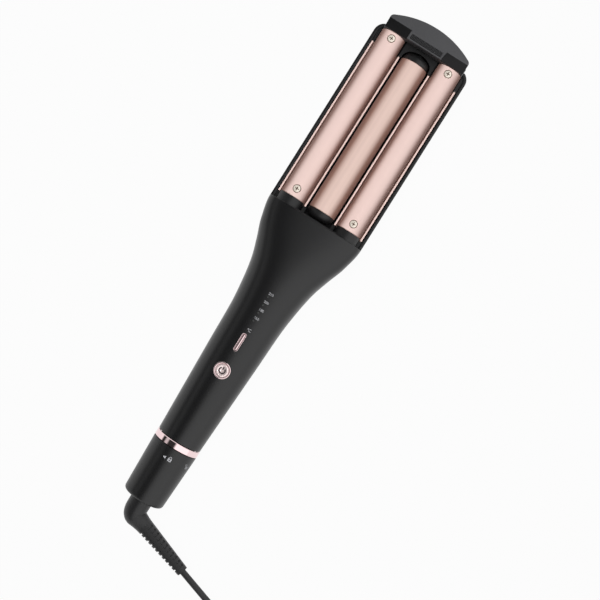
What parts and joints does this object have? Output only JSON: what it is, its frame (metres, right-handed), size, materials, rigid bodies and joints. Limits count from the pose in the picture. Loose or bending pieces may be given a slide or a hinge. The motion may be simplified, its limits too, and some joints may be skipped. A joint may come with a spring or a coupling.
{
  "type": "hair waver",
  "caption": "Mains hair waver: two hinged arms with round heated barrels and matching troughs, front buttons, twist lock collar and swivel cord.",
  "frame": {"origin": "middle of the tool's bounding box, on the floor that its flat back lies on, cord left out", "axes": "+Y along the tool from the cord end to the tip, +Z out of the front face with the buttons, +X to the right of someone looking at that face"},
  "size_m": [0.1506, 0.4497, 0.0382],
  "materials": {
    "black_shell": "satin black moulded housing",
    "black_inner": "matt black heat-proof moulding",
    "cap_grey": "satin dark grey moulding",
    "grip_black": "gloss black ribbed strip",
    "collar_black": "satin black turned collar",
    "rose_coating": "rose ceramic coating, satin gloss",
    "rose_chrome": "mirror rose gold plating",
    "steel": "zinc plated steel",
    "rose_screw": "coated screw heads",
    "bar_plastic": "natural nylon",
    "heater": "aluminium clamps on ceramic strips",
    "board_green": "green lacquered glass fibre",
    "board_parts": "black component cases",
    "lamp_clear": "clear acrylic",
    "wire_white": "white silicone sleeving",
    "cord_rubber": "black flexible jacket"
  },
  "bodies": {
    "rear_arm": {"rear_shell": "black_shell", "rear_frame": "black_inner", "rear_screws": "steel", "base_block": "black_inner", "tip_block": "black_inner", "slider_track": "black_inner", "detent_spring": "steel", "lock_catch": "steel", "hinge_pin": "steel", "arm_spring": "steel", "rear_wires": "wire_white", "left_trough": "rose_coating", "right_trough": "rose_coating", "left_trough_heater": "heater", "right_trough_heater": "heater", "power_cord": "cord_rubber", "cord_coil": "cord_rubber", "cord_tail": "cord_rubber", "cord_tie": "cord_rubber", "plug_body": "cord_rubber", "plug_pins": "steel"},
    "front_arm": {"front_cover": "black_shell", "front_chassis": "black_inner", "cover_screws": "steel", "jaw_base": "black_inner", "left_barrel": "rose_coating", "right_barrel": "rose_coating", "left_heater": "heater", "right_heater": "heater", "barrel_screws": "rose_screw", "tip_cap": "cap_grey", "tip_grip": "grip_black", "control_board": "board_green", "board_screws": "steel", "board_switches": "board_parts", "board_chips": "board_parts", "lamp_pipes": "lamp_clear", "front_wires": "wire_white", "power_ring": "rose_chrome", "temp_ring": "rose_chrome", "collar_ring": "rose_chrome", "cord_retainer": "black_inner"},
    "centre_barrel": {"centre_barrel": "rose_coating", "centre_heater": "heater", "centre_cap_base": "black_inner", "centre_cap_tip": "black_inner", "centre_carriage": "black_inner", "carriage_screws": "steel"},
    "depth_slider": {"depth_knob": "collar_black", "lift_bar": "bar_plastic", "knob_clip": "steel"},
    "power_button": {"power_button": "rose_chrome"},
    "temp_button": {"temp_button": "rose_chrome"},
    "lock_collar": {"lock_collar": "collar_black"},
    "lock_bolt": {"lock_bolt": "steel"},
    "cord_swivel": {"cord_elbow": "cord_rubber"}
  },
  "joints": [
    {"name": "jaw_hinge", "type": "hinge", "parent": "rear_arm", "child": "front_arm", "pos_m": [0, -0.11675, 0.0154], "axis": [1, 0, 0], "range_deg": [0, 10]},
    {"name": "depth_slide", "type": "slide", "parent": "rear_arm", "child": "depth_slider", "axis": [0, -1, 0], "range_m": [0, 0.021]},
    {"name": "centre_barrel_lift", "type": "slide", "parent": "rear_arm", "child": "centre_barrel", "axis": [0, 0, -1], "range_m": [0, 0.006]},
    {"name": "power_press", "type": "slide", "parent": "front_arm", "child": "power_button", "axis": [0, 0, -1], "range_m": [0, 0.0007], "stiffness_N_per_m": 1200, "springref_m": -0.0003},
    {"name": "temp_press", "type": "slide", "parent": "front_arm", "child": "temp_button", "axis": [0, 0, -1], "range_m": [0, 0.0007], "stiffness_N_per_m": 1200, "springref_m": -0.0003},
    {"name": "collar_twist", "type": "hinge", "parent": "front_arm", "child": "lock_collar", "pos_m": [0, -0.14795, 0.0154], "axis": [0, 1, 0], "range_deg": [0, 60]},
    {"name": "lock_bolt_slide", "type": "slide", "parent": "front_arm", "child": "lock_bolt", "axis": [0, -1, 0], "range_m": [0, 0.0021]},
    {"name": "cord_swivel_turn", "type": "hinge", "parent": "front_arm", "child": "cord_swivel", "pos_m": [0, -0.16675, 0.0154], "axis": [0, 1, 0], "continuous": true}
  ],
  "couplings": [
    {"joint": "centre_barrel_lift", "follows": "depth_slide", "ratio": 0.2857},
    {"joint": "lock_bolt_slide", "follows": "collar_twist", "m_per_rad": 0.0019099}
  ]
}
